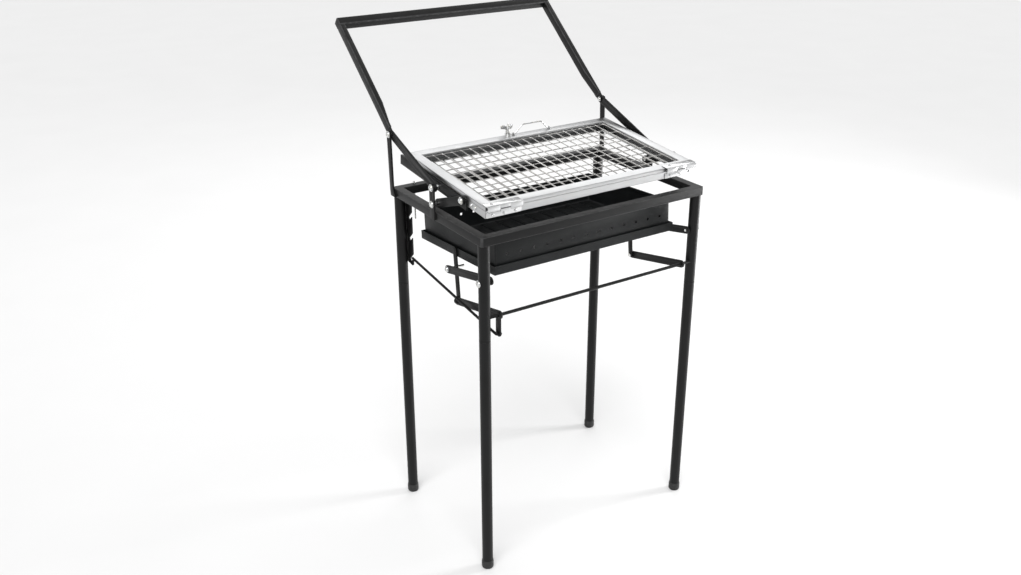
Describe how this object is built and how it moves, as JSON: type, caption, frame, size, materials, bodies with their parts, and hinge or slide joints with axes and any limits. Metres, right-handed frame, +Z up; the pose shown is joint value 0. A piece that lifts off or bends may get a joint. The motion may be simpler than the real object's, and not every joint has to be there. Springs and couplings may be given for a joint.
{
  "type": "standing charcoal grill",
  "caption": "Standing charcoal grill on a rectangular tube frame, with a height-adjustable tray and a hinged wire basket on a bent handle that lifts and flips it.",
  "frame": {"origin": "on the ground plane, under the middle of the bounding box of the whole grill", "axes": "+X along the long side of the stand, to the right as seen from the front; +Y to the rear, where the handle is; +Z up"},
  "size_m": [0.6172, 0.6555, 1.1772],
  "materials": {
    "black_paint": "satin",
    "tray_enamel": "satin",
    "stainless": "brushed",
    "grill_wire": "bright",
    "zinc_bolt": "bright zinc",
    "foot_plastic": "matte"
  },
  "bodies": {
    "stand": {"frame_front_rail": "black_paint", "frame_rear_rail": "black_paint", "frame_left_rail": "black_paint", "frame_right_rail": "black_paint", "leg_upper_front_left": "black_paint", "leg_upper_front_right": "black_paint", "leg_upper_rear_left": "black_paint", "leg_upper_rear_right": "black_paint", "leg_lower_front_left": "black_paint", "leg_lower_front_right": "black_paint", "leg_lower_rear_left": "black_paint", "leg_lower_rear_right": "black_paint", "foot_front_left": "foot_plastic", "foot_front_right": "foot_plastic", "foot_rear_left": "foot_plastic", "foot_rear_right": "foot_plastic", "post_left": "black_paint", "post_right": "black_paint", "flip_bracket_left": "black_paint", "flip_bracket_right": "black_paint", "notch_rack": "black_paint", "rail_pin": "black_paint", "pivot_bolt_left": "zinc_bolt", "pivot_bolt_right": "zinc_bolt", "leg_bolt_left": "zinc_bolt", "leg_bolt_right": "zinc_bolt"},
    "handle": {"handle_crossbar": "black_paint", "handle_arm_left": "black_paint", "handle_arm_right": "black_paint", "lever_left": "black_paint", "lever_right": "black_paint", "basket_bolt_left": "zinc_bolt", "basket_bolt_right": "zinc_bolt"},
    "basket": {"basket_lower_frame": "stainless", "basket_lower_grid": "grill_wire", "side_bar_left": "black_paint", "side_bar_right": "black_paint", "hinge_lower_leaf_left": "stainless", "hinge_lower_leaf_right": "stainless", "clasp_bracket": "stainless"},
    "lid": {"basket_upper_frame": "stainless", "basket_upper_grid": "grill_wire", "hinge_upper_leaf_left": "stainless", "hinge_upper_leaf_right": "stainless"},
    "wire_handle": {"wire_handle": "zinc_bolt"},
    "clasp_stud": {"clasp_stud": "zinc_bolt"},
    "wing_nut": {"wing_nut": "zinc_bolt"},
    "guide_link_left": {"guide_link_left": "black_paint"},
    "guide_link_right": {"guide_link_right": "black_paint"},
    "lift": {"lift_shaft": "black_paint", "lift_arm_left": "black_paint", "lift_arm_right": "black_paint", "lift_crank": "black_paint"},
    "tray": {"charcoal_tray": "tray_enamel", "tray_carrier": "tray_enamel", "hanger_left": "black_paint", "hanger_right": "black_paint"},
    "tray_arm_left": {"tray_arm_left": "black_paint"},
    "tray_arm_right": {"tray_arm_right": "black_paint"},
    "tie_rod": {"tie_rod": "black_paint"}
  },
  "joints": [
    {"name": "handle_lift", "type": "hinge", "parent": "stand", "child": "handle", "pos_m": [0, 0.06366, 0.957], "axis": [-1, 0, 0], "range_deg": [0, 48]},
    {"name": "basket_flip", "type": "hinge", "parent": "handle", "child": "basket", "pos_m": [0, -0.12934, 0.885], "axis": [1, 0, 0], "range_deg": [0, 127]},
    {"name": "guide_link_left_turn", "type": "hinge", "parent": "stand", "child": "guide_link_left", "pos_m": [0, -0.12934, 0.848], "axis": [-1, 0, 0], "range_deg": [0, 67.5]},
    {"name": "guide_link_right_turn", "type": "hinge", "parent": "stand", "child": "guide_link_right", "pos_m": [0, -0.12934, 0.848], "axis": [-1, 0, 0], "range_deg": [0, 67.5]},
    {"name": "lid_hinge", "type": "hinge", "parent": "basket", "child": "lid", "pos_m": [0, -0.31476, 0.88118], "axis": [1, 0, 0], "range_deg": [0, 95]},
    {"name": "wire_handle_fold", "type": "hinge", "parent": "lid", "child": "wire_handle", "pos_m": [0, 0.0174, 0.92215], "axis": [1, 0, 0], "range_deg": [-90, 85]},
    {"name": "clasp_swing", "type": "hinge", "parent": "basket", "child": "clasp_stud", "pos_m": [0, 0.0353, 0.90199], "axis": [-1, 0, 0], "range_deg": [0, 100]},
    {"name": "wing_nut_turn", "type": "hinge", "parent": "clasp_stud", "child": "wing_nut", "pos_m": [-0.004, 0.0353, 0.90199], "axis": [0, -0.0906, 0.9959], "continuous": true},
    {"name": "tray_lift", "type": "hinge", "parent": "stand", "child": "lift", "pos_m": [0, -0.31934, 0.648], "axis": [1, 0, 0], "range_deg": [0, 14.77]},
    {"name": "tray_level", "type": "hinge", "parent": "lift", "child": "tray", "pos_m": [0, -0.13934, 0.611], "axis": [1, 0, 0], "range_deg": [-15, 0]},
    {"name": "tray_arm_left_turn", "type": "hinge", "parent": "stand", "child": "tray_arm_left", "pos_m": [0, -0.31134, 0.727], "axis": [1, 0, 0], "range_deg": [0, 15]},
    {"name": "tray_arm_right_turn", "type": "hinge", "parent": "stand", "child": "tray_arm_right", "pos_m": [0, -0.31134, 0.727], "axis": [1, 0, 0], "range_deg": [0, 15]},
    {"name": "tie_rod_pivot", "type": "hinge", "parent": "lift", "child": "tie_rod", "pos_m": [0, -0.31934, 0.604], "axis": [1, 0, 0], "range_deg": [-7, 0]}
  ],
  "couplings": [
    {"joint": "basket_flip", "follows": "handle_lift", "ratio": 2.644},
    {"joint": "guide_link_left_turn", "follows": "handle_lift", "ratio": 1.3958},
    {"joint": "guide_link_right_turn", "follows": "handle_lift", "ratio": 1.3958},
    {"joint": "tray_level", "follows": "tray_lift", "ratio": -1},
    {"joint": "tray_arm_left_turn", "follows": "tray_lift", "ratio": 1},
    {"joint": "tray_arm_right_turn", "follows": "tray_lift", "ratio": 1},
    {"joint": "tie_rod_pivot", "follows": "tray_lift", "ratio": -0.4411}
  ]
}
